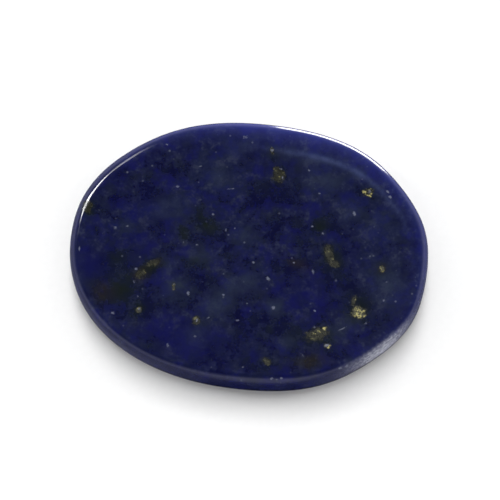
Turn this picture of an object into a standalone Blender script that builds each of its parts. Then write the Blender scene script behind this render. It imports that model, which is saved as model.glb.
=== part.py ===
"""Lapis lazuli worry stone: one polished oval tablet with a shallow thumb dish on top.

Metres, +Z up. The origin is on the surface that the stone rests on, under the middle of the stone.
+X runs along its length, and -Y is the side nearest the person who looks at it.
"""

import math

import bmesh
import bpy

MM = 0.001

# Outline seen from above: an oval whose long axis is turned a little, with four sides ground flatter
OVAL_HALF_LENGTH = 23.0 * MM
OVAL_HALF_DEPTH = 17.3 * MM
OVAL_TURN = math.radians(-6.6)
OVAL_FULLNESS = 2.17  # 2 makes an ellipse, and more makes it squarer
FLATTER_SIDES = (  # the direction that each one faces, and its distance from the oval's middle
    (math.radians(-53.5), 20.4 * MM),
    (math.radians(-10.7), 22.5 * MM),
    (math.radians(32.4), 21.3 * MM),
    (math.radians(123.8), 21.6 * MM),
)
CORNER_CRISPNESS = 16  # how sharply a flatter side meets the oval

# Heights
THICKNESS = 6.8 * MM
WAIST_HEIGHT = 3.2 * MM  # where the edge bulges out furthest
DISH_FLOOR_HEIGHT = 5.4 * MM
DISH_RISE = 1.1 * MM  # how far a round bowl would climb before it is led up to the rim
DISH_LEAD = 6  # how late the bowl is led up to the rim

# Rim between the outline and the dish, every 30 degrees anticlockwise from +X
RIM_WIDTHS = [w * MM for w in (2.4, 3.2, 4.1, 4.0, 3.0, 1.9, 0.95, 0.65, 0.7, 1.0, 0.8, 0.6)]
RIM_EASE = 0.3 * MM  # half the width of the softened line where the rim meets the dish
EASE_SHARE = 0.5  # most of a narrow rim that the softening may take

# How far in from the outline the top of the edge is rounded, in the same directions
EDGE_ROUNDS = [r * MM for r in (2.0, 2.2, 2.4, 2.4, 2.4, 2.4, 2.4, 2.6, 3.0, 3.1, 1.95, 0.95)]
EDGE_FULLNESS = 3.0
BELLY_FULLNESS = 2.3

# Flat spot underneath that the stone rests on
RESTING_HALF_LENGTH = 8.0 * MM
RESTING_HALF_DEPTH = 6.0 * MM

# Mesh
DIRECTIONS = 128
BELLY_RINGS = 10
EDGE_RINGS = 10
EASE_RINGS = 4
DISH_RINGS = 10

LAPIS_COLOUR = (0.011, 0.012, 0.060, 1.0)
LAPIS_ROUGHNESS = 0.12


def oval_radius(direction, half_length, half_depth, fullness=2.0):
    """Distance from the middle of an oval to its edge."""
    along = abs(math.cos(direction) / half_length) ** fullness
    across = abs(math.sin(direction) / half_depth) ** fullness
    return (along + across) ** (-1 / fullness)


def outline_radius(direction):
    """Distance from the oval's middle to the stone's outline: the oval, cut back by its flatter sides."""
    oval = oval_radius(direction - OVAL_TURN, OVAL_HALF_LENGTH, OVAL_HALF_DEPTH, OVAL_FULLNESS)
    total = oval**-CORNER_CRISPNESS
    for facing, distance in FLATTER_SIDES:
        towards = math.cos(direction - facing)
        if towards > 0:
            total += (distance / towards) ** -CORNER_CRISPNESS
    return total ** (-1 / CORNER_CRISPNESS)


def around(sizes, direction):
    """Size in one direction, on a smooth closed curve through sizes that are evenly spread round the stone."""
    count = len(sizes)
    place = direction % math.tau / math.tau * count
    start = int(place)
    t = place - start
    before, here, after, beyond = (sizes[(start + k) % count] for k in (-1, 0, 1, 2))
    slope_here = (after - before) / 2
    slope_after = (beyond - here) / 2
    return (
        here * (1 + 2 * t) * (1 - t) ** 2
        + slope_here * t * (1 - t) ** 2
        + after * t**2 * (3 - 2 * t)
        - slope_after * t**2 * (1 - t)
    )


def rim_width(direction):
    return around(RIM_WIDTHS, direction)


def edge_height(direction, inward):
    """Height of the rounded edge above the waist, at a distance inward from the outline."""
    out = max(0.0, 1 - inward / around(EDGE_ROUNDS, direction))
    rise = (1 - out**EDGE_FULLNESS) ** (1 / EDGE_FULLNESS)
    return WAIST_HEIGHT + (THICKNESS - WAIST_HEIGHT) * rise


def dish_height(direction, radius):
    """Height of the dish: a round bowl, led up to the rim's own height near the rim."""
    width = rim_width(direction)
    share = radius / (outline_radius(direction) - width)
    lead = edge_height(direction, width) - DISH_FLOOR_HEIGHT - DISH_RISE
    return DISH_FLOOR_HEIGHT + DISH_RISE * share**2 + lead * share**DISH_LEAD


def belly_section(direction):
    """Radius and height of each ring of the underside, from the flat spot out to the waist."""
    outline = outline_radius(direction)
    resting = oval_radius(direction, RESTING_HALF_LENGTH, RESTING_HALF_DEPTH)
    points = []
    for ring in range(BELLY_RINGS + 1):
        turn = ring / BELLY_RINGS * math.pi / 2
        out = math.sin(turn) ** (2 / BELLY_FULLNESS)
        drop = max(0.0, math.cos(turn)) ** (2 / BELLY_FULLNESS)
        points.append((resting + (outline - resting) * out, WAIST_HEIGHT * (1 - drop)))
    return points


def edge_section(direction):
    """Radius and height of each ring from just above the waist up to the softened line."""
    outline = outline_radius(direction)
    width = rim_width(direction)
    reach = width - min(RIM_EASE, EASE_SHARE * width)
    points = []
    for ring in range(1, EDGE_RINGS + 1):
        inward = reach * (1 - math.cos(ring / EDGE_RINGS * math.pi / 2))
        points.append((outline - inward, edge_height(direction, inward)))
    return points


def ease_section(direction):
    """Radius and height of each ring of the small curve that softens the line between rim and dish."""
    outline = outline_radius(direction)
    width = rim_width(direction)
    ease = min(RIM_EASE, EASE_SHARE * width)
    line_radius = outline - width
    outer = (line_radius + ease, edge_height(direction, width - ease))
    line = (line_radius, edge_height(direction, width))
    inner = (line_radius - ease, dish_height(direction, line_radius - ease))
    points = []
    for ring in range(1, EASE_RINGS + 1):
        t = ring / EASE_RINGS
        points.append(tuple(
            a * (1 - t) ** 2 + 2 * b * t * (1 - t) + c * t**2 for a, b, c in zip(outer, line, inner)
        ))
    return points


def dish_section(direction):
    """Radius and height of each ring of the dish, from the softened line to its middle."""
    width = rim_width(direction)
    edge = outline_radius(direction) - width - min(RIM_EASE, EASE_SHARE * width)
    points = []
    for ring in range(1, DISH_RINGS + 1):
        radius = edge * math.cos(ring / DISH_RINGS * math.pi / 2)
        points.append((radius, dish_height(direction, radius)))
    return points


def section(direction):
    """Half a cut through the stone, from the flat spot round the edge to the middle of the dish."""
    return (
        belly_section(direction)
        + edge_section(direction)
        + ease_section(direction)
        + dish_section(direction)
    )


def place(vertex, direction, point):
    radius, height = point
    vertex.co = (radius * math.cos(direction), radius * math.sin(direction), height)


def stand_over_origin(stone):
    """Moves the stone until the middle of its length and of its depth is over the origin."""
    shift = [0.0, 0.0, 0.0]
    for axis in (0, 1):
        places = [vertex.co[axis] for vertex in stone.verts]
        shift[axis] = -(min(places) + max(places)) / 2
    bmesh.ops.translate(stone, verts=stone.verts, vec=shift)


def stone_mesh():
    """Draws the flat spot's outline out and up, ring by ring, and closes it at the middle of the dish."""
    stone = bmesh.new()
    first = bmesh.ops.create_circle(stone, cap_ends=True, segments=DIRECTIONS, radius=1.0)
    ring = {}
    for vertex in first["verts"]:
        direction = math.atan2(vertex.co.y, vertex.co.x)
        ring[vertex] = (direction, section(direction))
        place(vertex, direction, ring[vertex][1][0])
    edges = list(stone.edges)
    stations = len(next(iter(ring.values()))[1])
    for station in range(1, stations):
        drawn = bmesh.ops.extrude_edge_only(stone, edges=edges)["geom"]
        new_verts = {item for item in drawn if isinstance(item, bmesh.types.BMVert)}
        edges = [
            item
            for item in drawn
            if isinstance(item, bmesh.types.BMEdge) and new_verts.issuperset(item.verts)
        ]
        next_ring = {}
        for vertex in new_verts:
            neighbours = [edge.other_vert(vertex) for edge in vertex.link_edges]
            below = next(neighbour for neighbour in neighbours if neighbour in ring)
            direction, cut = ring[below]
            next_ring[vertex] = (direction, cut)
            place(vertex, direction, cut[station])
        ring = next_ring
    bmesh.ops.pointmerge(stone, verts=list(ring), merge_co=(0, 0, DISH_FLOOR_HEIGHT))
    stand_over_origin(stone)
    bmesh.ops.recalc_face_normals(stone, faces=stone.faces)
    mesh = bpy.data.meshes.new("lapis_stone")
    stone.to_mesh(mesh)
    stone.free()
    mesh.shade_smooth()
    return mesh


def polished_lapis():
    material = bpy.data.materials.new("polished_lapis")
    material.use_nodes = True
    shader = material.node_tree.nodes["Principled BSDF"]
    shader.inputs["Base Color"].default_value = LAPIS_COLOUR
    shader.inputs["Roughness"].default_value = LAPIS_ROUGHNESS
    shader.inputs["Metallic"].default_value = 0.0
    return material


def build():
    for old in list(bpy.context.scene.objects):
        bpy.data.objects.remove(old)
    stone = bpy.data.objects.new("lapis_stone", stone_mesh())
    stone.data.materials.append(polished_lapis())
    bpy.context.scene.collection.objects.link(stone)


build()
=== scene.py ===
"""A polished lapis lazuli worry stone on a white table, as an add-on that is run as a script.

The stone is one piece. Its mesh repeats the plain solid's shape with far more faces, and its blue,
its cloudy patches, its pyrite and its pale grains are procedural, placed in millimetres on the stone.
Rim light, highlights, glints, shade and a sheen are painted into its colour as well.
"""

import math
from collections import namedtuple

import bmesh
import bpy
import numpy as np
from bpy.props import FloatProperty, FloatVectorProperty, PointerProperty
from mathutils import Matrix, Vector, noise


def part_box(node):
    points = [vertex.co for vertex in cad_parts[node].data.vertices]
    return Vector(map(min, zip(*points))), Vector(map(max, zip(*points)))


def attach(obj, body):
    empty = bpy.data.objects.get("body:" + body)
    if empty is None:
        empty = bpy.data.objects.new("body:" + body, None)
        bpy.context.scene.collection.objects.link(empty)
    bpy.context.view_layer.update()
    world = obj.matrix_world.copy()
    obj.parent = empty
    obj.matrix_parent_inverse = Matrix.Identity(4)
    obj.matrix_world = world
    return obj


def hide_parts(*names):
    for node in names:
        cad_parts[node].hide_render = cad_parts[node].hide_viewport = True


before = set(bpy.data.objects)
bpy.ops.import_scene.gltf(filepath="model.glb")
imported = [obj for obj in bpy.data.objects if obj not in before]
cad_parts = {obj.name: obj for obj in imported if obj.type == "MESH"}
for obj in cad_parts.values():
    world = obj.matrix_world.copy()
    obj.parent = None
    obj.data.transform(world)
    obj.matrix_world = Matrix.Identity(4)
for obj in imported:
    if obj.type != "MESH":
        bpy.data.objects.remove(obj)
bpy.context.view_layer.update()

bl_info = {
    "name": "Lapis Lazuli Worry Stone",
    "version": (1, 0, 0),
    "blender": (4, 5, 0),
    "location": "View3D > Sidebar > Lapis",
    "description": "Makes a polished oval tablet of lapis lazuli and the white table that it lies on",
    "category": "Object",
}

CAD_NODE = "lapis_stone"
MM = 0.001

# Outline seen from above: an oval whose long axis is turned a little, with four sides ground flatter
OVAL_HALF_LENGTH = 23.0 * MM
OVAL_HALF_DEPTH = 17.3 * MM
OVAL_TURN = math.radians(-6.6)
OVAL_FULLNESS = 2.17  # 2 makes an ellipse, and more makes it squarer
FLATTER_SIDES = (  # the direction that each one faces, and its distance from the oval's middle
    (math.radians(-53.5), 20.4 * MM),
    (math.radians(-10.7), 22.5 * MM),
    (math.radians(32.4), 21.3 * MM),
    (math.radians(123.8), 21.6 * MM),
)
CORNER_CRISPNESS = 16  # how sharply a flatter side meets the oval

# Heights
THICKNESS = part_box(CAD_NODE)[1].z
WAIST_HEIGHT = 3.2 * MM  # where the edge bulges out furthest
DISH_FLOOR_HEIGHT = 5.4 * MM
DISH_RISE = 1.1 * MM  # how far a round bowl would climb before it is led up to the rim
DISH_LEAD = 6  # how late the bowl is led up to the rim

# Rim between the outline and the dish, every 30 degrees anticlockwise from +X
RIM_WIDTHS = [w * MM for w in (2.4, 3.2, 4.1, 4.0, 3.0, 1.9, 0.95, 0.65, 0.7, 1.0, 0.8, 0.6)]
RIM_EASE = 0.3 * MM  # half the width of the softened line where the rim meets the dish
EASE_SHARE = 0.5  # most of a narrow rim that the softening may take

# How far in from the outline the top of the edge is rounded, in the same directions
EDGE_ROUNDS = [r * MM for r in (2.0, 2.2, 2.4, 2.4, 2.4, 2.4, 2.4, 2.6, 3.0, 3.1, 1.95, 0.95)]
EDGE_FULLNESS = 3.0
BELLY_FULLNESS = 2.3

# Flat spot underneath that the stone rests on
RESTING_HALF_LENGTH = 8.0 * MM
RESTING_HALF_DEPTH = 6.0 * MM

# Rings of the fine mesh
DIRECTIONS = 512
RESTING_RINGS = 8
BELLY_RINGS = 30
EDGE_RINGS = 26
EASE_RINGS = 12
DISH_RINGS = 108
BELOW_RINGS = -1  # the flat spot's middle
WAIST_RING = RESTING_RINGS - 1 + BELLY_RINGS
RIPPLE_WIDTH = 5.0 * MM

# The bake's map: the face above, and the underside below it
BAKE_MAP = "OFBake"
FACE_SHARE = 0.6
MAP_MARGIN = 0.01

# Minerals whose places are marked on the stone's face, in millimetres
FACE_MIDDLE = (-0.055, 0.236)  # from the origin
EDGE_WANDER = 0.35  # how far the outline of a patch wanders
WANDER_WIDTH = 1.1
WANDER_SEED = 3  # any number but 0, which would change the patches from run to run

# Half sizes from a grain's middle to where its mark ends
GRAIN_REACH = 2.0
PAINTED_GLINT_REACH = 1.25
SPECK_REACH = 4.0
PATCH_FALL = 0.7  # how fast a patch fades outwards

# Millimetres from the face's middle, degrees of turn, and a grain's painted glint or how much a patch covers
Grain = namedtuple("Grain", "x y length width turn shine", defaults=(1.0,))
Patch = namedtuple("Patch", "x y length width turn strength")

PYRITE_GRAINS = [
    Grain(3.8, 9.6, 1.4, 1.8, 8, 0.1),
    Grain(3.0, 12.6, 0.6, 0.7, 0, 0.5),
    Grain(15.0, 7.1, 1.4, 1.0, 10, 0.6),
    Grain(10.0, -0.8, 1.2, 2.0, 15, 0.15),
    Grain(10.6, -2.1, 1.2, 0.7, -35, 0.35),
    Grain(16.4, -3.0, 0.75, 0.65, 0, 0.35),
    Grain(13.5, -8.6, 1.4, 1.3, 20, 0.9),
    Grain(12.9, -7.0, 0.7, 1.2, 0, 0.1),
    Grain(8.3, -11.3, 2.6, 1.4, 14, 0.2),
    Grain(9.0, -10.8, 1.9, 0.4, 15, 0.75),
    Grain(-20.1, 5.1, 0.8, 1.4, 10, 0.0),
    Grain(9.5, -12.8, 0.8, 0.6, 10, 0.7),
    Grain(-11.7, -2.1, 1.5, 0.8, 20, 0.15),
    Grain(-13.3, -3.5, 1.0, 0.9, 30, 0.1),
    Grain(-13.4, -8.2, 0.6, 0.7, 0, 0.6),
    Grain(-9.2, -5.0, 0.6, 0.9, 0, 0.3),
    Grain(-6.3, -9.6, 0.7, 0.9, -20, 0.4),
    Grain(2.2, -14.8, 1.0, 0.8, 15, 0.35),
]

OLIVE_PATCHES = [
    Patch(3.9, 9.5, 2.6, 3.0, 0, 0.8),
    Patch(3.0, 12.5, 1.7, 1.7, 0, 0.9),
    Patch(15.0, 7.0, 2.2, 1.8, 0, 0.7),
    Patch(8.8, 2.4, 2.6, 2.4, -20, 0.8),
    Patch(10.2, -1.3, 2.2, 3.8, 20, 0.9),
    Patch(16.4, -3.1, 1.7, 1.7, 0, 0.8),
    Patch(13.4, -8.2, 2.6, 3.4, 15, 0.9),
    Patch(8.5, -11.5, 4.2, 3.0, 10, 0.9),
    Patch(7.2, -14.8, 3.4, 1.6, 8, 0.8),
    Patch(2.3, -14.7, 1.8, 1.6, 0, 0.7),
    Patch(2.5, -10.6, 1.0, 1.1, 0, 0.5),
    Patch(-12.4, -2.8, 4.6, 1.8, 38, 0.9),
    Patch(-15.5, -5.2, 3.4, 4.6, -10, 1.0),
    Patch(-13.5, -8.2, 2.0, 2.8, -30, 1.0),
    Patch(-17.9, -6.2, 2.8, 2.2, -10, 0.8),
    Patch(-16.2, -1.4, 2.2, 2.6, -30, 0.8),
    Patch(-8.8, -5.8, 2.6, 3.0, -30, 0.45),
    Patch(-5.8, -9.4, 2.6, 2.0, 10, 0.7),
    Patch(-5.6, 3.3, 3.0, 2.4, -25, 1.0),
    Patch(-8.2, 1.9, 1.9, 2.2, 0, 0.8),
    Patch(-5.8, -1.8, 2.8, 1.9, -20, 0.6),
    Patch(-20.0, 4.8, 1.8, 3.0, 10, 1.0),
    Patch(-12.1, -12.8, 1.6, 1.2, 0, 0.7),
    Patch(11.6, -4.4, 1.4, 2.2, 10, 0.4),
]

RUSTY_PATCHES = [
    Patch(-17.9, -6.0, 2.2, 2.0, -10, 0.8),
    Patch(-13.3, -3.5, 1.6, 1.3, 30, 0.7),
    Patch(7.4, -14.8, 3.2, 1.5, 8, 0.7),
    Patch(6.1, -2.1, 2.4, 1.0, -30, 0.6),
    Patch(-11.2, -1.9, 0.9, 0.8, 0, 0.6),
    Patch(16.4, -3.0, 1.0, 0.9, 0, 0.7),
]

CALCITE_GRAINS = [
    Grain(-16.6, 2.4, 0.55, 0.45, -20),
    Grain(-15.1, 2.7, 0.35, 0.3, 0),
    Grain(-18.8, 0.8, 0.2, 0.3, 0),
    Grain(-20.9, -0.4, 0.2, 0.7, 0),
    Grain(-0.4, 14.5, 0.75, 0.45, 0),
    Grain(3.0, 12.6, 0.45, 0.45, 0),
    Grain(4.1, 10.3, 0.5, 0.25, 0),
    Grain(4.3, 9.2, 0.25, 0.6, 0),
    Grain(7.6, 10.1, 0.3, 0.3, 0),
    Grain(8.9, 7.1, 0.3, 0.3, 0),
    Grain(15.1, 7.1, 0.5, 0.4, 0),
    Grain(17.4, 7.0, 0.6, 0.3, -45),
    Grain(17.7, 6.3, 0.4, 0.35, 0),
    Grain(13.2, 4.4, 0.35, 0.6, 20),
    Grain(9.2, 1.9, 0.35, 0.35, 0),
    Grain(8.0, 2.8, 0.3, 0.25, 0),
    Grain(-4.4, 4.4, 0.3, 0.4, 20),
    Grain(-2.8, 2.4, 0.4, 0.5, 20),
    Grain(-1.7, 2.6, 0.25, 0.3, 0),
    Grain(-6.4, 0.4, 0.4, 0.3, 30),
    Grain(-8.1, 0.7, 0.25, 0.35, 0),
    Grain(-8.9, 8.1, 0.4, 0.35, 0),
    Grain(-6.1, 10.7, 0.45, 0.2, 15),
    Grain(-10.3, 13.4, 0.3, 0.35, 0),
    Grain(-2.2, 7.8, 1.2, 0.2, 5),
    Grain(0.6, -1.9, 0.35, 0.3, 0),
    Grain(5.6, -1.9, 0.3, 0.3, 0),
    Grain(2.4, -4.0, 0.45, 0.7, 20),
    Grain(8.0, -3.2, 0.35, 0.8, 10),
    Grain(3.1, -7.9, 0.5, 0.45, 0),
    Grain(8.1, -8.3, 0.35, 0.3, 0),
    Grain(16.6, -7.1, 0.4, 0.35, 0),
    Grain(17.1, -4.7, 0.5, 0.3, 0),
    Grain(17.9, -9.1, 0.25, 0.25, 0),
    Grain(6.5, -14.0, 0.2, 0.8, 40),
    Grain(9.5, -12.8, 0.6, 0.4, 20),
    Grain(11.4, -10.7, 1.2, 0.2, 25),
    Grain(14.2, -10.1, 1.1, 0.2, 38),
    Grain(-14.1, -4.6, 0.35, 0.35, 0),
    Grain(-13.9, -2.9, 0.35, 0.35, 0),
    Grain(-13.6, -6.5, 0.3, 0.25, 0),
    Grain(-13.4, -8.1, 0.4, 0.4, 0),
    Grain(-9.2, -4.8, 0.3, 0.4, 0),
    Grain(-7.4, -6.0, 0.4, 0.7, 10),
    Grain(-6.3, -9.5, 0.25, 0.6, -20),
    Grain(-4.9, -9.2, 0.5, 0.25, 30),
    Grain(-3.1, -6.2, 0.35, 0.35, 0),
    Grain(-0.2, -7.3, 0.3, 0.3, 0),
    Grain(-1.4, -9.5, 0.5, 0.25, 0),
    Grain(-6.5, -11.6, 0.4, 0.3, 0),
    Grain(-9.8, -12.8, 0.3, 0.5, 10),
    Grain(-4.5, -15.6, 0.3, 0.3, 0),
    Grain(-0.7, -15.6, 0.3, 0.25, 0),
    Grain(-0.9, -17.1, 0.3, 0.25, 0),
    Grain(-16.6, -8.7, 0.4, 0.35, 0),
    Grain(2.7, -17.0, 0.4, 0.3, 10),
    Grain(3.4, -17.1, 0.4, 0.25, 0),
    Grain(4.0, -16.95, 0.35, 0.25, 0),
    Grain(11.1, -15.7, 0.5, 0.25, 25),
    Grain(11.9, -15.4, 0.45, 0.25, 25),
]

HAZE_PATCHES = [
    Patch(8.2, 11.4, 6.5, 1.6, -14, 0.7),
    Patch(12.8, 9.8, 4.0, 1.8, -35, 0.6),
    Patch(9.6, 8.8, 4.6, 3.2, -20, 0.7),
    Patch(16.6, 2.6, 4.4, 4.6, 0, 0.5),
    Patch(16.8, -4.4, 3.6, 5.4, 20, 0.9),
    Patch(-4.0, 9.4, 5.0, 3.6, -30, 0.6),
    Patch(-1.6, 12.4, 4.0, 2.6, 30, 0.4),
    Patch(-9.8, 5.4, 4.4, 2.4, 10, 0.6),
    Patch(-15.2, 2.8, 2.0, 1.6, 0, 0.5),
    Patch(-0.6, 1.8, 3.0, 3.0, 0, 0.5),
    Patch(-3.9, -7.4, 3.6, 2.4, 50, 1.0),
    Patch(-0.8, -4.6, 4.6, 2.2, 25, 0.8),
    Patch(-6.2, -11.0, 2.0, 3.6, -30, 0.5),
    Patch(3.2, -7.8, 1.8, 1.8, 0, 0.8),
    Patch(11.6, -10.6, 4.6, 1.8, 25, 0.7),
    Patch(4.6, -12.4, 1.6, 1.6, 0, 0.4),
    Patch(-9.8, -2.6, 1.8, 2.6, 0, 0.4),
    Patch(-8.8, -5.4, 2.4, 2.6, -30, 1.0),
    Patch(-5.9, -1.2, 2.6, 1.8, -20, 0.7),
    Patch(12.7, 4.7, 3.6, 3.0, 0, 0.5),
]

SHADE_PATCHES = [
    Patch(0.9, 7.4, 5.6, 3.6, 0, 1.0),
    Patch(18.9, -8.6, 2.6, 2.6, 0, 1.0),
    Patch(-1.2, 13.8, 4.0, 1.8, 0, 0.7),
    Patch(6.2, 2.0, 4.6, 3.4, 0, 0.7),
    Patch(0.4, -6.9, 2.4, 2.4, 0, 0.8),
    Patch(18.4, -8.4, 5.0, 3.2, 35, 1.0),
    Patch(20.2, -2.6, 2.0, 6.0, 0, 0.8),
    Patch(-0.6, -15.2, 3.6, 2.0, 0, 0.7),
    Patch(-15.9, -8.6, 5.0, 1.8, -45, 0.7),
    Patch(-16.4, 9.4, 2.4, 4.4, 20, 0.5),
    Patch(3.9, -6.0, 3.4, 3.4, 0, 0.6),
    Patch(-2.4, 7.4, 3.6, 3.0, 0, 0.7),
    Patch(-12.4, -10.0, 3.4, 2.6, -30, 0.5),
    Patch(-7.4, -14.4, 3.0, 1.6, 0, 0.6),
    Patch(4.4, -15.4, 4.6, 1.4, 5, 0.5),
]

DEEP_BLUE_PATCHES = [
    Patch(-19.2, -2.2, 3.6, 3.4, 0, 1.0),
    Patch(-8.2, -11.6, 9.0, 4.4, -15, 0.8),
    Patch(7.0, -6.0, 4.4, 4.2, 0, 0.6),
    Patch(-13.6, -0.6, 4.6, 3.2, 10, 0.5),
    Patch(-12.0, 4.8, 5.0, 3.6, 0, 0.5),
    Patch(13.0, -1.6, 3.0, 4.0, 0, 0.4),
]

# Stretch of the edge in front on the right that was ground but hardly polished
# Its roughness and bump are real; its pale, sparkling colour is a painted reflection
GROUND_EDGE = math.radians(-39)
GROUND_EDGE_SPREAD = math.radians(10.5)
GROUND_EDGE_WIDTH = 0.38 * MM

# Painted rim light: paler blue painted on the edge, most behind on the right, and a share of that all round
PAINTED_RIM_LIGHT = math.radians(72)
PAINTED_RIM_LIGHT_SPREAD = math.radians(72)
PAINTED_RIM_LIGHT_DEPTH = 0.6 * MM
PAINTED_RIM_LIGHT_GAIN = 0.6 * MM  # how much deeper the light comes where there is most
PAINTED_RIM_LIGHT_BASE = 0.07
PAINTED_RIM_LIGHT_MOST = 0.6

# Painted highlight: a paler line painted along the same rim's inner edge
RIDGE_HIGHLIGHT = math.radians(46)
RIDGE_HIGHLIGHT_SPREAD = math.radians(30)
RIDGE_HIGHLIGHT_HALF_WIDTH = 0.4 * MM
RIDGE_HIGHLIGHT_STRENGTH = 0.7

# Tones of the blue: the ramp's places for the six blues, and the noise levels that reach its ends
TONE_PLACES = (0.226, 0.388, 0.5, 0.612, 0.714, 0.814)
TONE_LEVELS = (0.32, 0.69)
TONE_SHIFTS = (("haze", 0.12), ("shade", -0.14))

# Clouds of other hues: the colour, the clouds' width and the most that they hide
HUE_CLOUDS = (("strong", 2.4 * MM, 0.8), ("grey", 1.7 * MM, 0.7))
CLOUD_DETAIL = 4.0
CLOUD_ROUGHNESS = 0.7
CLOUD_LEVELS = (0.48, 0.62)

# Noise patterns: the finish's size that each one takes, and its detail and roughness
PATTERNS = (
    ("fleck", 3.2, 0.84),
    ("mottle", 4.0, 0.75),
    ("grain", 2.0, 0.7),
    ("cluster", 3.0, 0.8),
    ("facet", 2.0, 0.7),
)

# Placed minerals and the painted ridge highlight, in the order that they lie over the blue
MINERAL_COVERS = ("deep_blue", "haze", "olive", "rust", "painted_ridge_highlight")
MOTTLE_LEVELS = (0.36, 0.6)
MOTTLE_LEAST = 0.4  # share of a patch that is left where the mottling eats into it most

# Painted sparkle in the ground edge's painted reflection, by the finest grains
PAINTED_SPARKLE_LEVELS = (0.4, 0.65)
PAINTED_SPARKLE_LEAST = 0.4

# Pyrite: how much its clusters and the olive around it widen a grain, where it starts and is full, and
# how far a grain's painted glint lifts its facets towards the painted glint colour
CLUSTER_GOLD = 1.5
OLIVE_GOLD = 0.28
GOLD_LEVELS = (1.17, 1.55)
GOLD_MOST = 0.9
PAINTED_GLINT_LIFT = 0.22
GOLD_PLACES = (0.56, 0.68, 0.8)

# Calcite: the placed grains, and the scattered specks by their distance and which of them show
CLUSTER_PALE = 0.8
PALE_LEVELS = (1.12, 1.32)
PALE_MOST = 0.8
SPECK_LEVELS = (0.17, 0.07)
SPECK_CHOSEN = (0.62, 0.9)
SPECK_MOST = 0.5

# Polish: what each mineral adds to its roughness and its relief
GRAIN_DULLNESS = 0.04
GOLD_DULLNESS = 0.2
GROUND_DULLNESS = 0.25
GOLD_RELIEF = 0.5
POLISH_BUMP = 0.05
GROUND_BUMP = 0.6
RELIEF_HEIGHT = 0.05 * MM
LAPIS_IOR = 1.5

MARKS = (
    "pyrite",
    "shine",
    "calcite",
    "olive",
    "rust",
    "haze",
    "shade",
    "deep_blue",
    "matt_edge_and_sheen",
    "painted_rim_light",
    "painted_ridge_highlight",
)

# Sockets of a colour mix
SHARE, FIRST, SECOND, MIXED = 0, 6, 7, 2

# Table
TABLE_HALF_WIDTH = 1.5
TABLE_ROUGHNESS = (0.6, 0.8)
TABLE_SPECULAR = 0.2
PEEL_WIDTH = 0.8 * MM
PEEL_SHADE = 0.96
PEEL_BUMP = 0.1
PEEL_HEIGHT = 0.02 * MM

# Soft lights: degrees from +X and up from the table, the degrees that each one spans, the look's
# brightness that it takes and its share of that. One that is mirrored lights no matt surface.
Softbox = namedtuple("Softbox", "name azimuth elevation width height setting share mirrored")
SOFTBOXES = (
    Softbox("soft_light_overhead", 92, 76, 16, 48, "key", 1.0, False),
    Softbox("soft_light_left", 168, 30, 14, 20, "side", 1.0, False),
    Softbox("soft_light_right", 12, 30, 14, 20, "side", 1.0, False),
    Softbox("window_left_pane", 136.5, 43, 7, 19, "window", 1.0, True),
    Softbox("window_middle_pane", 129, 49, 12, 14, "window", 0.8, True),
    Softbox("window_right_pane", 118, 47, 12, 12, "window", 0.22, True),
    Softbox("strip_behind_right", 70, -9, 28, 30, "strip", 1.0, True),
)
LIGHT_DISTANCE = 1.5

# What the polish mirrors, by the sine of its height above the horizon: in front, where the stone's own
# shadow darkens it below the horizon, and at the sides
MIRRORED_FRONT = (
    (-0.85, 0.01),
    (-0.6, 0.1),
    (-0.3, 0.65),
    (0.0, 0.85),
    (0.3, 0.5),
    (0.56, 0.1),
    (0.75, 0.01),
)
MIRRORED_SIDES = (
    (-0.9, 0.2),
    (-0.6, 0.26),
    (-0.3, 0.5),
    (0.0, 0.88),
    (0.3, 0.5),
    (0.56, 0.1),
    (0.75, 0.01),
)
MIRRORED_TINT = (0.94, 0.95, 1.2, 1.0)
SIDEWAYS = (0.12, 0.4)  # shares of X between which the front's mirrored room becomes the sides'
WHITE = (1.0, 1.0, 1.0, 1.0)

# Camera: 70 degrees above the table, with a long lens
CAMERA_ELEVATION = math.radians(70)
CAMERA_DISTANCE = 209 * MM
CAMERA_LENS = 120
AIM_HEIGHT = 3.4 * MM
AIM_ACROSS = 0.135 * MM  # how far the stone stands left of the picture's middle
AIM_UP = 0.678 * MM
CAMERA_NEAR = 10 * MM


def linear(code):
    """An sRGB hex colour as linear red, green, blue and alpha."""
    shares = [int(code[k : k + 2], 16) / 255 for k in (1, 3, 5)]
    return [s / 12.92 if s <= 0.04045 else ((s + 0.055) / 1.055) ** 2.4 for s in shares] + [1.0]


def colour_property(name, code, description):
    return FloatVectorProperty(
        name=name, description=description, default=linear(code), size=4, min=0, max=1, subtype="COLOR"
    )


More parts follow.
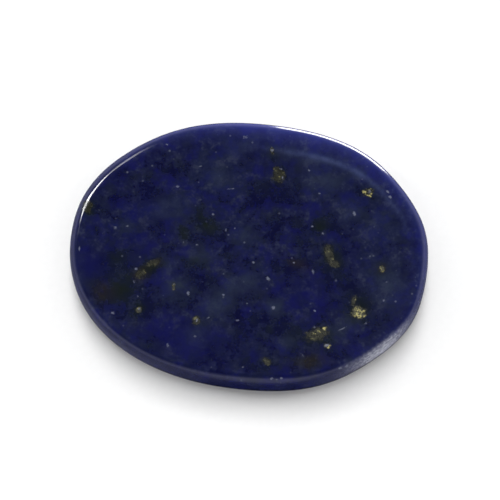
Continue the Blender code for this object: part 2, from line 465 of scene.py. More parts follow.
class LapisColours(bpy.types.PropertyGroup):
    """Colours of the rock's minerals."""

    deepest: colour_property("Deepest blue", "#090b2c", "Lazurite where it is darkest")
    deep: colour_property("Deep blue", "#0f1232", "Dark lazurite")
    blue: colour_property("Blue", "#121635", "Most of the lazurite")
    light: colour_property("Light blue", "#171b38", "Lazurite with a little fine calcite in it")
    pale: colour_property("Pale blue", "#1d213c", "Lazurite with more fine calcite in it")
    palest: colour_property("Palest blue", "#262a41", "Flecks that are nearly calcite")
    strong: colour_property("Strong blue", "#0f1148", "Clouds of purer lazurite")
    grey: colour_property("Grey blue", "#13182a", "Clouds greyed by diopside")
    deep_blue: colour_property("Pure blue", "#0d0f40", "Patches of pure lazurite")
    haze: colour_property("Haze", "#242c40", "Patches where fine calcite clouds the blue")
    olive: colour_property("Olive", "#131a12", "Dark green-brown mica and diopside")
    rust: colour_property("Rust", "#241f1d", "Patches stained brown")
    # Pyrite: the darkest is painted shade, the middle is its gold, the brightest is a painted glint
    pyrite: colour_property("Pyrite", "#1f2016", "Dull golden grains in the shade of others")
    pyrite_bright: colour_property("Bright pyrite", "#3d3d2b", "Golden grains")
    pyrite_painted_glint: colour_property("Pyrite glint", "#b0a764", "Brightest faces of the golden grains")
    calcite: colour_property("Calcite", "#666a7c", "Small pale grains")
    # Painted reflection: the pale colour of the ground edge
    matt_edge_and_sheen: colour_property("Ground edge", "#d0d2de", "Pale edge where the polish stopped short")
    # Painted rim light: a paler blue painted on the edge, in place of light coming through it
    painted_rim_light: colour_property("Lit rim", "#464fae", "Blue of the rim where light comes through its edge")
    # Painted highlight where the rim meets the dish
    painted_ridge_highlight: colour_property("Ridge", "#384266", "Rubbed line where the rim meets the dish")


class LapisFinish(bpy.types.PropertyGroup):
    """Sizes of the polish and of the rock's pattern."""

    fleck: FloatProperty(
        name="Fleck size",
        description="Width of the largest flecks of the blue, which hold ever finer ones",
        default=2.2 * MM,
        unit="LENGTH",
    )
    mottle: FloatProperty(
        name="Mottle size",
        description="Width of the mottles that break up the patches",
        default=1.6 * MM,
        unit="LENGTH",
    )
    grain: FloatProperty(
        name="Grain size",
        description="Width of the finest grains, drawn coarser than the rock's own 0.1 mm so that they show",
        default=0.45 * MM,
        unit="LENGTH",
    )
    cluster: FloatProperty(
        name="Cluster size",
        description="Width of the crystals that make a grain's outline ragged",
        default=0.6 * MM,
        unit="LENGTH",
    )
    facet: FloatProperty(
        name="Facet size",
        description="Width of the pyrite's facets that catch the light",
        default=0.5 * MM,
        unit="LENGTH",
    )
    speck: FloatProperty(
        name="Speck spacing",
        description="Distance between the scattered pale specks",
        default=1.0 * MM,
        unit="LENGTH",
    )
    ripple: FloatProperty(
        name="Ripple",
        description="Height of the hand polish's slow ripples",
        default=0.02 * MM,
        unit="LENGTH",
    )
    roughness: FloatProperty(
        name="Roughness", description="Roughness of the polish", default=0.1, min=0, max=1, subtype="FACTOR"
    )


class StudioLook(bpy.types.PropertyGroup):
    """The table and its lights."""

    table: colour_property("Table", "#f7f7f7", "White table top")
    key: FloatProperty(name="Soft light", description="Brightness of the soft light overhead", default=8.7)
    side: FloatProperty(name="Side lights", description="Brightness of the light at each side", default=4)
    window: FloatProperty(name="Window", description="Brightness of the window on the left", default=30)
    strip: FloatProperty(name="Strip", description="Brightness of the strip behind on the right", default=14)
    fill: FloatProperty(name="Fill", description="Brightness of the room on matt surfaces", default=0.52)


def oval_radius(direction, half_length, half_depth, fullness=2.0):
    """Distance from the middle of an oval to its edge."""
    along = np.abs(np.cos(direction) / half_length) ** fullness
    across = np.abs(np.sin(direction) / half_depth) ** fullness
    return (along + across) ** (-1 / fullness)


def outline_radius(direction):
    """Distance from the oval's middle to the outline: the oval, cut back by its flatter sides."""
    oval = oval_radius(direction - OVAL_TURN, OVAL_HALF_LENGTH, OVAL_HALF_DEPTH, OVAL_FULLNESS)
    total = oval**-CORNER_CRISPNESS
    for facing, distance in FLATTER_SIDES:
        towards = np.cos(direction - facing).clip(0)
        total += (towards / distance) ** CORNER_CRISPNESS
    return total ** (-1 / CORNER_CRISPNESS)


def around(sizes, direction):
    """Size in each direction, on a smooth closed curve through sizes spread evenly round the stone."""
    sizes = np.array(sizes)
    place = direction % math.tau / math.tau * len(sizes)
    start = place.astype(int)
    t = place - start
    before, here, after, beyond = (sizes[(start + k) % len(sizes)] for k in (-1, 0, 1, 2))
    slope_here = (after - before) / 2
    slope_after = (beyond - here) / 2
    return (
        here * (1 + 2 * t) * (1 - t) ** 2
        + slope_here * t * (1 - t) ** 2
        + after * t**2 * (3 - 2 * t)
        - slope_after * t**2 * (1 - t)
    )


def edge_height(direction, inward):
    """Height of the rounded edge above the waist, at a distance inward from the outline."""
    out = (1 - inward / around(EDGE_ROUNDS, direction)).clip(0)
    rise = (1 - out**EDGE_FULLNESS) ** (1 / EDGE_FULLNESS)
    return WAIST_HEIGHT + (THICKNESS - WAIST_HEIGHT) * rise


def dish_height(direction, radius):
    """Height of the dish: a round bowl, led up to the rim's own height near the rim."""
    width = around(RIM_WIDTHS, direction)
    share = radius / (outline_radius(direction) - width)
    lead = edge_height(direction, width) - DISH_FLOOR_HEIGHT - DISH_RISE
    return DISH_FLOOR_HEIGHT + DISH_RISE * share**2 + lead * share**DISH_LEAD


def stone_section(direction):
    """Radius and height of each ring from the flat spot's middle, round the edge, to the dish's middle."""
    outline = outline_radius(direction)
    resting = oval_radius(direction, RESTING_HALF_LENGTH, RESTING_HALF_DEPTH)
    width = around(RIM_WIDTHS, direction)
    ease = np.minimum(RIM_EASE, EASE_SHARE * width)
    line = outline - width
    rings = []
    for ring in range(1, RESTING_RINGS):
        rings.append((resting * ring / RESTING_RINGS, 0 * direction))
    for ring in range(BELLY_RINGS + 1):
        turn = ring / BELLY_RINGS * math.pi / 2
        out = math.sin(turn) ** (2 / BELLY_FULLNESS)
        drop = max(0.0, math.cos(turn)) ** (2 / BELLY_FULLNESS)
        rings.append((resting + (outline - resting) * out, WAIST_HEIGHT * (1 - drop) + 0 * direction))
    for ring in range(1, EDGE_RINGS + 1):
        inward = (width - ease) * (1 - math.cos(ring / EDGE_RINGS * math.pi / 2))
        rings.append((outline - inward, edge_height(direction, inward)))
    outer = (line + ease, edge_height(direction, width - ease))
    corner = (line, edge_height(direction, width))
    inner = (line - ease, dish_height(direction, line - ease))
    for ring in range(1, EASE_RINGS + 1):
        t = ring / EASE_RINGS
        rings.append(tuple(
            a * (1 - t) ** 2 + 2 * b * t * (1 - t) + c * t**2 for a, b, c in zip(outer, corner, inner)
        ))
    for ring in range(1, DISH_RINGS + 1):
        radius = (line - ease) * (1 - ring / (DISH_RINGS + 1))
        rings.append((radius, dish_height(direction, radius)))
    radii, heights = (np.array(list(side)) for side in zip(*rings))
    return radii, heights


def draw_rings(stone, radii, heights):
    """Draws the flat spot's first ring out and up, ring by ring, and closes it at the middle of the dish."""
    turn_layer = stone.verts.layers.float.new("turn")
    ring_layer = stone.verts.layers.float.new("ring")
    inward_layer = stone.verts.layers.float.new("inward")
    first = bmesh.ops.create_circle(stone, cap_ends=True, cap_tris=True, segments=DIRECTIONS, radius=1.0)
    middle = min(first["verts"], key=lambda vertex: vertex.co.length)
    middle[ring_layer] = BELOW_RINGS
    column = {}
    for vertex in first["verts"]:
        if vertex != middle:
            direction = math.atan2(vertex.co.y, vertex.co.x)
            column[vertex] = round(direction / math.tau * DIRECTIONS) % DIRECTIONS
    edges = [edge for edge in stone.edges if middle not in edge.verts]
    for ring in range(len(radii)):
        if ring:
            drawn = bmesh.ops.extrude_edge_only(stone, edges=edges)["geom"]
            new_verts = {item for item in drawn if isinstance(item, bmesh.types.BMVert)}
            edges = [
                item
                for item in drawn
                if isinstance(item, bmesh.types.BMEdge) and new_verts.issuperset(item.verts)
            ]
            next_column = {}
            for vertex in new_verts:
                neighbours = (edge.other_vert(vertex) for edge in vertex.link_edges)
                next_column[vertex] = column[next(n for n in neighbours if n in column)]
            column = next_column
        for vertex, place in column.items():
            direction = place / DIRECTIONS * math.tau
            radius = radii[ring, place]
            vertex.co = (radius * math.cos(direction), radius * math.sin(direction), heights[ring, place])
            vertex[turn_layer] = direction
            vertex[ring_layer] = ring
            vertex[inward_layer] = radii[WAIST_RING, place] - radius
    last = bmesh.ops.extrude_edge_only(stone, edges=edges)["geom"]
    top = [item for item in last if isinstance(item, bmesh.types.BMVert)]
    for vertex in top:
        vertex[ring_layer] = len(radii)
        vertex[inward_layer] = OVAL_HALF_DEPTH
    bmesh.ops.pointmerge(stone, verts=top, merge_co=(0, 0, DISH_FLOOR_HEIGHT))
    bmesh.ops.recalc_face_normals(stone, faces=stone.faces)


def stone_mesh(ripple):
    """The fine mesh, stood over the origin and held inside the plain solid's box."""
    directions = np.arange(DIRECTIONS) / DIRECTIONS * math.tau
    radii, heights = stone_section(directions)
    stone = bmesh.new()
    draw_rings(stone, radii, heights)
    for vertex in stone.verts:
        vertex.co -= vertex.normal * ripple * (1 + noise.noise(vertex.co / RIPPLE_WIDTH)) / 2
    low = Vector(min(v.co[k] for v in stone.verts) for k in range(3))
    high = Vector(max(v.co[k] for v in stone.verts) for k in range(3))
    solid_low, solid_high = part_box(CAD_NODE)
    fit = Matrix.Diagonal([(solid_high[k] - solid_low[k]) / (high[k] - low[k]) for k in range(3)])
    for vertex in stone.verts:
        vertex.co = fit @ (vertex.co - (low + high) / 2) + (solid_low + solid_high) / 2
    mesh = bpy.data.meshes.new("polished_lapis_stone")
    stone.to_mesh(mesh)
    stone.free()
    mesh.shade_smooth()
    return mesh


def numbers(items, name, width=1):
    """One property of every item, as an array."""
    found = np.empty(len(items) * width, np.float32)
    items.foreach_get(name, found)
    return found.reshape(-1, width) if width > 1 else found


def oval_distance(places, spot):
    """Distance from a spot's middle, 1 on its outline."""
    turn = math.radians(spot.turn)
    across = places - (spot.x, spot.y)
    along = across @ (math.cos(turn), math.sin(turn))
    over = across @ (-math.sin(turn), math.cos(turn))
    return np.hypot(along / (spot.length / 2), over / (spot.width / 2))


def grain_field(places, grains, reach):
    """How deep each place is in the nearest grain: 1 at its middle, and 0 from reach half sizes on."""
    return np.max([1 - oval_distance(places, grain) / reach for grain in grains], axis=0).clip(0)


def patch_field(places, patches):
    """Strength of the patches at each place, fading softly outwards."""
    strengths = [
        patch.strength * np.exp(-PATCH_FALL * oval_distance(places, patch) ** 2) for patch in patches
    ]
    return np.max(strengths, axis=0)


def stretch_field(turn, centre, spread):
    """Strength of a stretch of the rim by direction, fading softly to both sides."""
    off = (turn - centre + math.pi) % math.tau - math.pi
    return np.exp(-((off / spread) ** 2))


def mark_minerals(mesh):
    """Stores where the minerals and the painted light lie on the stone's face, for the material to read."""
    places = numbers(mesh.vertices, "co", 3) / MM
    flat = places[:, :2] - FACE_MIDDLE
    noise.seed_set(WANDER_SEED)
    wandered = flat + EDGE_WANDER * np.array([noise.noise_vector(p / WANDER_WIDTH)[:2] for p in places])
    turn = numbers(mesh.attributes["turn"].data, "value")
    inward = numbers(mesh.attributes["inward"].data, "value")
    painted_glints = [grain.shine * (oval_distance(wandered, grain) < PAINTED_GLINT_REACH) for grain in PYRITE_GRAINS]
    ground = stretch_field(turn, GROUND_EDGE, GROUND_EDGE_SPREAD)
    rim_light = stretch_field(turn, PAINTED_RIM_LIGHT, PAINTED_RIM_LIGHT_SPREAD)
    rim_light_depth = PAINTED_RIM_LIGHT_DEPTH + PAINTED_RIM_LIGHT_GAIN * rim_light
    rim_light_strength = PAINTED_RIM_LIGHT_BASE + (1 - PAINTED_RIM_LIGHT_BASE) * rim_light
    from_ridge = inward - around(RIM_WIDTHS, turn)
    painted_ridge_highlight = RIDGE_HIGHLIGHT_STRENGTH * stretch_field(turn, RIDGE_HIGHLIGHT, RIDGE_HIGHLIGHT_SPREAD)
    marks = {
        "pyrite": grain_field(wandered, PYRITE_GRAINS, GRAIN_REACH),
        "shine": np.max(painted_glints, axis=0),
        "calcite": grain_field(flat, CALCITE_GRAINS, SPECK_REACH),
        "olive": patch_field(wandered, OLIVE_PATCHES),
        "rust": patch_field(wandered, RUSTY_PATCHES),
        "haze": patch_field(wandered, HAZE_PATCHES),
        "shade": patch_field(wandered, SHADE_PATCHES),
        "deep_blue": patch_field(wandered, DEEP_BLUE_PATCHES),
        "matt_edge_and_sheen": ground * np.exp(-((inward / GROUND_EDGE_WIDTH) ** 2)),
        "painted_rim_light": (rim_light_strength * np.exp(-inward / rim_light_depth)).clip(0, PAINTED_RIM_LIGHT_MOST),
        "painted_ridge_highlight": painted_ridge_highlight * np.exp(-((from_ridge / RIDGE_HIGHLIGHT_HALF_WIDTH) ** 2)),
    }
    face = numbers(mesh.attributes["ring"].data, "value") > WAIST_RING
    for name, values in marks.items():
        attribute = mesh.attributes.new(name, "FLOAT", "POINT")
        attribute.data.foreach_set("value", (values * face).astype(np.float32))


def lay_out_bake_map(mesh):
    """Unrolls the face and the underside from their middles, one above the other."""
    ring = numbers(mesh.attributes["ring"].data, "value")
    turn = numbers(mesh.attributes["turn"].data, "value")
    radii, heights = stone_section(np.arange(DIRECTIONS) / DIRECTIONS * math.tau)
    steps = np.hypot(np.diff(radii, axis=0), np.diff(heights, axis=0))
    out = np.concatenate([radii[:1], radii[:1] + np.cumsum(steps, axis=0)])
    whole = out[-1:] + radii[-1:]
    column = np.round(turn / math.tau * DIRECTIONS).astype(int) % DIRECTIONS
    row = ring.clip(0, len(radii) - 1).astype(int)
    from_below = np.where(ring < 0, 0, out[row, column])
    from_above = np.where(ring >= len(radii), 0, (whole - out)[row, column])
    corners = numbers(mesh.loops, "vertex_index").astype(int)
    starts = numbers(mesh.polygons, "loop_start").astype(int)
    totals = numbers(mesh.polygons, "loop_total").astype(int)
    face_of = np.repeat(np.arange(len(starts)), totals)
    lowest = np.minimum.reduceat(ring[corners], starts)
    on_face = (lowest >= WAIST_RING)[face_of]
    reach = np.where(on_face, from_above[corners], from_below[corners])
    angle = turn[corners]
    at = np.stack([reach * np.cos(angle), reach * np.sin(angle)], 1)
    for part, low, share in ((on_face, 1 - FACE_SHARE, FACE_SHARE), (~on_face, 0.0, 1 - FACE_SHARE)):
        span = np.abs(at[part]).max(0) * 2
        size = np.array((1 - 2 * MAP_MARGIN, share - 2 * MAP_MARGIN))
        at[part] = at[part] / span * size + (0.5, low + share / 2)
    layer = mesh.uv_layers.new(name=BAKE_MAP)
    layer.uv.foreach_set("vector", at.astype(np.float32).ravel())


def add_node(tree, kind, inputs=None, stops=(), **settings):
    """Adds a node with its settings and its ramp's stops, and sets or links each input."""
    node = tree.nodes.new(kind)
    for name, value in settings.items():
        setattr(node, name, value)
    for index, (position, colour) in enumerate(stops):
        elements = node.color_ramp.elements
        element = elements[index] if index < len(elements) else elements.new(position)
        element.position = position
        element.color = colour
    for socket, value in (inputs or {}).items():
        if isinstance(value, bpy.types.NodeSocket):
            tree.links.new(value, node.inputs[socket])
        else:
            node.inputs[socket].default_value = value
    return node


def rock_patterns(tree, place, finish):
    """Noise of the rock: its flecks, mottles and finest grains, and its crystals and their facets."""
    patterns = {}
    for name, detail, roughness in PATTERNS:
        patterns[name] = add_node(
            tree,
            "ShaderNodeTexNoise",
            {
                "Vector": place,
                "Scale": 1 / getattr(finish, name),
                "Detail": detail,
                "Roughness": roughness,
            },
        ).outputs["Fac"]
    return patterns


def flecked_blue(tree, marks, fleck, colours):
    """The blue itself. It holds flecks of every size, so that no patch of it is even."""
    tone = add_node(
        tree,
        "ShaderNodeMapRange",
        {"Value": fleck, "From Min": TONE_LEVELS[0], "From Max": TONE_LEVELS[1]},
    ).outputs["Result"]
    for name, shift in TONE_SHIFTS:
        tone = add_node(
            tree, "ShaderNodeMath", {0: marks[name], 1: shift, 2: tone}, operation="MULTIPLY_ADD"
        ).outputs["Value"]
    blues = (colours.deepest, colours.deep, colours.blue, colours.light, colours.pale, colours.palest)
    return add_node(
        tree, "ShaderNodeValToRGB", {"Fac": tone}, stops=zip(TONE_PLACES, blues)
    ).outputs["Color"]


def cloud_covers(tree, place, colours):
    """Clouds of other blues that drift across the stone: how much each one hides, and its colour."""
    covers = []
    for name, width, most in HUE_CLOUDS:
        cloud = add_node(
            tree,
            "ShaderNodeTexNoise",
            {"Vector": place, "Scale": 1 / width, "Detail": CLOUD_DETAIL, "Roughness": CLOUD_ROUGHNESS},
        ).outputs["Fac"]
        share = add_node(
            tree,
            "ShaderNodeMapRange",
            {"Value": cloud, "From Min": CLOUD_LEVELS[0], "From Max": CLOUD_LEVELS[1], "To Max": most},
        ).outputs["Result"]
        covers.append((share, getattr(colours, name)))
    return covers


def patch_covers(tree, marks, mottle, colours):
    """Placed patches and the painted ridge highlight, soft and broken by mottling: none has a drawn edge."""
    broken = add_node(
        tree,
        "ShaderNodeMapRange",
        {
            "Value": mottle,
            "From Min": MOTTLE_LEVELS[0],
            "From Max": MOTTLE_LEVELS[1],
            "To Min": MOTTLE_LEAST,
        },
    ).outputs["Result"]
    covers = []
    for name in MINERAL_COVERS:
        share = add_node(
            tree, "ShaderNodeMath", {0: marks[name], 1: broken}, operation="MULTIPLY"
        ).outputs["Value"]
        covers.append((share, getattr(colours, name)))
    return covers


def matt_edge_sheen_cover(tree, marks, grain, colours):
    """The hardly polished stretch of the edge: a pale painted reflection, broken into painted sparkle."""
    painted_sparkle = add_node(
        tree,
        "ShaderNodeMapRange",
        {
            "Value": grain,
            "From Min": PAINTED_SPARKLE_LEVELS[0],
            "From Max": PAINTED_SPARKLE_LEVELS[1],
            "To Min": PAINTED_SPARKLE_LEAST,
        },
    ).outputs["Result"]
    share = add_node(
        tree, "ShaderNodeMath", {0: marks["matt_edge_and_sheen"], 1: painted_sparkle}, operation="MULTIPLY"
    ).outputs["Value"]
    return share, colours.matt_edge_and_sheen


def pyrite_cover(tree, marks, patterns, colours):
    """Ragged clusters of dull gold, in painted shade, with painted glints on a few facets."""
    edge = add_node(
        tree,
        "ShaderNodeMath",
        {0: patterns["cluster"], 1: CLUSTER_GOLD, 2: marks["pyrite"]},
        operation="MULTIPLY_ADD",
    ).outputs["Value"]
    edge = add_node(
        tree, "ShaderNodeMath", {0: marks["olive"], 1: OLIVE_GOLD, 2: edge}, operation="MULTIPLY_ADD"
    ).outputs["Value"]
    share = add_node(
        tree,
        "ShaderNodeMapRange",
        {"Value": edge, "From Min": GOLD_LEVELS[0], "From Max": GOLD_LEVELS[1], "To Max": GOLD_MOST},
        interpolation_type="SMOOTHSTEP",
    ).outputs["Result"]
    tone = add_node(
        tree,
        "ShaderNodeMath",
        {0: marks["shine"], 1: PAINTED_GLINT_LIFT, 2: patterns["facet"]},
        operation="MULTIPLY_ADD",
    ).outputs["Value"]
    golds = (colours.pyrite, colours.pyrite_bright, colours.pyrite_painted_glint)
    gold = add_node(
        tree, "ShaderNodeValToRGB", {"Fac": tone}, stops=zip(GOLD_PLACES, golds)
    ).outputs["Color"]
    return share, gold


def calcite_cover(tree, place, marks, cluster, colours, spacing):
    """Pale grains where the stone shows them, and finer specks scattered at random."""
    edge = add_node(
        tree,
        "ShaderNodeMath",
        {0: cluster, 1: CLUSTER_PALE, 2: marks["calcite"]},
        operation="MULTIPLY_ADD",
    ).outputs["Value"]
    placed = add_node(
        tree,
        "ShaderNodeMapRange",
        {"Value": edge, "From Min": PALE_LEVELS[0], "From Max": PALE_LEVELS[1], "To Max": PALE_MOST},
        interpolation_type="SMOOTHSTEP",
    ).outputs["Result"]
    specks = add_node(tree, "ShaderNodeTexVoronoi", {"Vector": place, "Scale": 1 / spacing}).outputs
    near = add_node(
        tree,
        "ShaderNodeMapRange",
        {"Value": specks["Distance"], "From Min": SPECK_LEVELS[0], "From Max": SPECK_LEVELS[1]},
    ).outputs["Result"]
    chosen = add_node(
        tree,
        "ShaderNodeMapRange",
        {
            "Value": specks["Color"],
            "From Min": SPECK_CHOSEN[0],
            "From Max": SPECK_CHOSEN[1],
            "To Max": SPECK_MOST,
        },
    ).outputs["Result"]
    scattered = add_node(tree, "ShaderNodeMath", {0: near, 1: chosen}, operation="MULTIPLY").outputs["Value"]
    share = add_node(tree, "ShaderNodeMath", {0: placed, 1: scattered}, operation="MAXIMUM").outputs["Value"]
    return share, colours.calcite


def hand_polish(tree, marks, grain, gold_share, roughness):
    """Roughness and relief of the polish, a little duller on every grain, the pyrite and the ground edge."""
    dull = add_node(
        tree,
        "ShaderNodeMapRange",
        {"Value": grain, "To Min": roughness - GRAIN_DULLNESS, "To Max": roughness + GRAIN_DULLNESS},
    ).outputs["Result"]
    for share, more in ((gold_share, GOLD_DULLNESS), (marks["matt_edge_and_sheen"], GROUND_DULLNESS)):
        dull = add_node(
            tree, "ShaderNodeMath", {0: share, 1: more, 2: dull}, operation="MULTIPLY_ADD"
        ).outputs["Value"]
    relief = add_node(
        tree, "ShaderNodeMath", {0: gold_share, 1: GOLD_RELIEF, 2: grain}, operation="MULTIPLY_ADD"
    ).outputs["Value"]
    strength = add_node(
        tree,
        "ShaderNodeMath",
        {0: marks["matt_edge_and_sheen"], 1: GROUND_BUMP, 2: POLISH_BUMP},
        operation="MULTIPLY_ADD",
    ).outputs["Value"]
    bump = add_node(
        tree, "ShaderNodeBump", {"Height": relief, "Strength": strength, "Distance": RELIEF_HEIGHT}
    ).outputs["Normal"]
    return dull, bump


def polished_lapis(colours, finish):
    """Lapis lazuli ground and polished by hand: deep flecked blue under a gloss like wet glass."""
    material = bpy.data.materials.new("polished_lapis_lazuli")
    material.use_nodes = True
    tree = material.node_tree
    tree.nodes.clear()
    place = add_node(tree, "ShaderNodeTexCoord").outputs["Object"]
    marks = {
        name: add_node(tree, "ShaderNodeAttribute", attribute_name=name).outputs["Fac"] for name in MARKS
    }
    patterns = rock_patterns(tree, place, finish)
    colour = flecked_blue(tree, marks, patterns["fleck"], colours)

    # Each mineral lies over those before it. The rim's paler blue is painted rim light.
    covers = cloud_covers(tree, place, colours)
    covers += patch_covers(tree, marks, patterns["mottle"], colours)
    covers.append((marks["painted_rim_light"], colours.painted_rim_light))
    covers.append(matt_edge_sheen_cover(tree, marks, patterns["grain"], colours))
    gold_share, gold = pyrite_cover(tree, marks, patterns, colours)
    covers.append((gold_share, gold))
    covers.append(calcite_cover(tree, place, marks, patterns["cluster"], colours, finish.speck))
    for share, cover in covers:
        colour = add_node(
            tree, "ShaderNodeMix", {SHARE: share, FIRST: colour, SECOND: cover}, data_type="RGBA"
        ).outputs[MIXED]

    dull, bump = hand_polish(tree, marks, patterns["grain"], gold_share, finish.roughness)
    shader = add_node(
        tree,
        "ShaderNodeBsdfPrincipled",
        {"Base Color": colour, "Roughness": dull, "Normal": bump, "IOR": LAPIS_IOR, "Metallic": 0.0},
    )
    add_node(tree, "ShaderNodeOutputMaterial", {"Surface": shader.outputs["BSDF"]})
    return material


class LAPIS_OT_stone(bpy.types.Operator):
    """Makes the polished stone"""

    bl_idname = "lapis.stone"
    bl_label = "Worry Stone"

    def execute(self, context):
        finish = context.scene.lapis_finish
        mesh = stone_mesh(finish.ripple)
        mark_minerals(mesh)
        lay_out_bake_map(mesh)
        stone = bpy.data.objects.new("polished_lapis_stone", mesh)
        mesh.materials.append(polished_lapis(context.scene.lapis_colours, finish))
        context.scene.collection.objects.link(stone)
        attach(stone, "root")
        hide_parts(CAD_NODE)
        return {"FINISHED"}


def add_softbox(box, brightness):
    """An area light that faces the stone. Brightness 1 is the white of the picture."""
    data = bpy.data.lights.new(box.name, "AREA")
    data.shape = "RECTANGLE"
    data.size = 2 * LIGHT_DISTANCE * math.tan(math.radians(box.width) / 2)
    data.size_y = 2 * LIGHT_DISTANCE * math.tan(math.radians(box.height) / 2)
    data.energy = brightness * math.pi * data.size * data.size_y
    azimuth = math.radians(box.azimuth)
    elevation = math.radians(box.elevation)
    level = math.cos(elevation)
    towards = Vector((math.cos(azimuth) * level, math.sin(azimuth) * level, math.sin(elevation)))
    light = bpy.data.objects.new(box.name, data)
    light.location = towards * LIGHT_DISTANCE
    light.rotation_euler = towards.to_track_quat("Z", "Y").to_euler()
    light.visible_camera = False
    light.visible_glossy = box.mirrored
    light.visible_diffuse = not box.mirrored
    bpy.context.scene.collection.objects.link(light)


def white_room(fill):
    """A room that is white to the eye and even on matt surfaces, and dark overhead in the polish."""
    world = bpy.data.worlds.new("white_room")
    world.use_nodes = True
    tree = world.node_tree
    tree.nodes.clear()
    direction = add_node(tree, "ShaderNodeTexCoord").outputs["Generated"]
    axes = add_node(tree, "ShaderNodeSeparateXYZ", {"Vector": direction}).outputs
    height = add_node(tree, "ShaderNodeMapRange", {"Value": axes["Z"], "From Min": -1.0}).outputs["Result"]
    sideways = add_node(tree, "ShaderNodeMath", {0: axes["X"]}, operation="ABSOLUTE").outputs["Value"]
    sideways = add_node(
        tree, "ShaderNodeMapRange", {"Value": sideways, "From Min": SIDEWAYS[0], "From Max": SIDEWAYS[1]}
    ).outputs["Result"]
    ahead, aside = (
        add_node(
            tree,
            "ShaderNodeValToRGB",
            {"Fac": height},
            stops=[((sine + 1) / 2, [value * part for part in MIRRORED_TINT]) for sine, value in mirrored],
        ).outputs["Color"]
        for mirrored in (MIRRORED_FRONT, MIRRORED_SIDES)
    )
    mirrored = add_node(
        tree, "ShaderNodeMix", {SHARE: sideways, FIRST: ahead, SECOND: aside}, data_type="RGBA"
    ).outputs[MIXED]
    ray = add_node(tree, "ShaderNodeLightPath").outputs
    light = add_node(
        tree,
        "ShaderNodeMix",
        {SHARE: ray["Is Glossy Ray"], FIRST: (fill, fill, fill, 1), SECOND: mirrored},
        data_type="RGBA",
    ).outputs[MIXED]
    light = add_node(
        tree, "ShaderNodeMix", {SHARE: ray["Is Camera Ray"], FIRST: light, SECOND: WHITE}, data_type="RGBA"
    ).outputs[MIXED]
    background = add_node(tree, "ShaderNodeBackground", {"Color": light, "Strength": 1.0})
    add_node(tree, "ShaderNodeOutputWorld", {"Surface": background.outputs["Background"]})
    return world


def white_laminate(colour):
    """Matt white laminate: a sheet with a faint orange-peel grain that keeps its gloss dull."""
    material = bpy.data.materials.new("white_laminate")
    material.use_nodes = True
    tree = material.node_tree
    tree.nodes.clear()
    place = add_node(tree, "ShaderNodeTexCoord").outputs["Object"]
    peel = add_node(
        tree, "ShaderNodeTexNoise", {"Vector": place, "Scale": 1 / PEEL_WIDTH, "Detail": 2.0}
    ).outputs["Fac"]
    shade = add_node(
        tree,
        "ShaderNodeMix",
        {SHARE: peel, FIRST: colour, SECOND: [value * PEEL_SHADE for value in colour[:3]] + [1.0]},
        data_type="RGBA",
    ).outputs[MIXED]
    dull = add_node(
        tree,
        "ShaderNodeMapRange",
        {"Value": peel, "To Min": TABLE_ROUGHNESS[0], "To Max": TABLE_ROUGHNESS[1]},
    ).outputs["Result"]
    bump = add_node(
        tree, "ShaderNodeBump", {"Height": peel, "Strength": PEEL_BUMP, "Distance": PEEL_HEIGHT}
    ).outputs["Normal"]
    shader = add_node(
        tree,
        "ShaderNodeBsdfPrincipled",
        {"Base Color": shade, "Roughness": dull, "Normal": bump, "Specular IOR Level": TABLE_SPECULAR},
    )
    add_node(tree, "ShaderNodeOutputMaterial", {"Surface": shader.outputs["BSDF"]})
    return material


def flat_table(colour):
    """A plain table top under the stone."""
    mesh = bpy.data.meshes.new("table")
    table = bmesh.new()
    bmesh.ops.create_grid(table, x_segments=1, y_segments=1, size=TABLE_HALF_WIDTH)
    table.to_mesh(mesh)
    table.free()
    mesh.materials.append(white_laminate(colour))
    top = bpy.data.objects.new("table", mesh)
    top.visible_glossy = False
    bpy.context.scene.collection.objects.link(top)
    return top


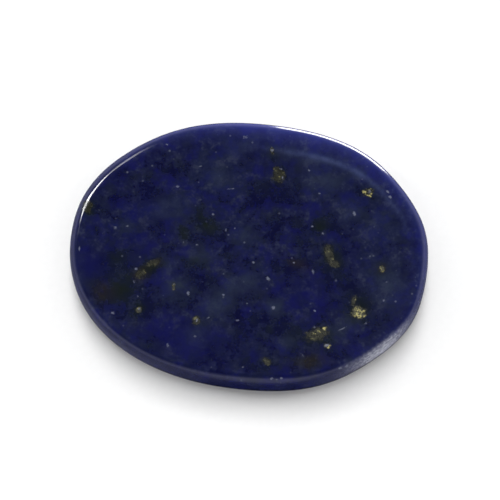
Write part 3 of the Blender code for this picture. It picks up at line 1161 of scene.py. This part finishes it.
class LAPIS_OT_studio(bpy.types.Operator):
    """Makes the white table, the lights and the camera"""

    bl_idname = "lapis.studio"
    bl_label = "Table, Lights and Camera"

    def execute(self, context):
        look = context.scene.lapis_studio
        flat_table(list(look.table))
        for box in SOFTBOXES:
            add_softbox(box, getattr(look, box.setting) * box.share)
        context.scene.world = white_room(look.fill)
        back = Vector((0, -math.cos(CAMERA_ELEVATION), math.sin(CAMERA_ELEVATION)))
        up = Vector((0, math.sin(CAMERA_ELEVATION), math.cos(CAMERA_ELEVATION)))
        aim = Vector((AIM_ACROSS, 0, AIM_HEIGHT)) + up * AIM_UP
        data = bpy.data.cameras.new("camera")
        data.lens = CAMERA_LENS
        data.clip_start = CAMERA_NEAR
        camera = bpy.data.objects.new("camera", data)
        camera.location = aim + back * CAMERA_DISTANCE
        camera.rotation_euler = back.to_track_quat("Z", "Y").to_euler()
        context.scene.collection.objects.link(camera)
        context.scene.camera = camera
        context.scene.view_settings.view_transform = "Standard"
        return {"FINISHED"}


class LAPIS_PT_panel(bpy.types.Panel):
    bl_label = "Lapis Worry Stone"
    bl_idname = "LAPIS_PT_panel"
    bl_space_type = "VIEW_3D"
    bl_region_type = "UI"
    bl_category = "Lapis"

    def draw(self, context):
        for operator in OPERATORS:
            self.layout.operator(operator.bl_idname)
        for group in GROUPS:
            settings = getattr(context.scene, GROUPS[group])
            for name in group.__annotations__:
                self.layout.prop(settings, name)


GROUPS = {LapisColours: "lapis_colours", LapisFinish: "lapis_finish", StudioLook: "lapis_studio"}
OPERATORS = (LAPIS_OT_stone, LAPIS_OT_studio)


def register():
    for cls in (*GROUPS, *OPERATORS, LAPIS_PT_panel):
        bpy.utils.register_class(cls)
    for cls, name in GROUPS.items():
        setattr(bpy.types.Scene, name, PointerProperty(type=cls))


def unregister():
    for name in GROUPS.values():
        delattr(bpy.types.Scene, name)
    for cls in (LAPIS_PT_panel, *OPERATORS, *GROUPS):
        bpy.utils.unregister_class(cls)


def main():
    register()
    bpy.ops.lapis.stone()
    bpy.ops.lapis.studio()


if __name__ == "__main__":
    main()
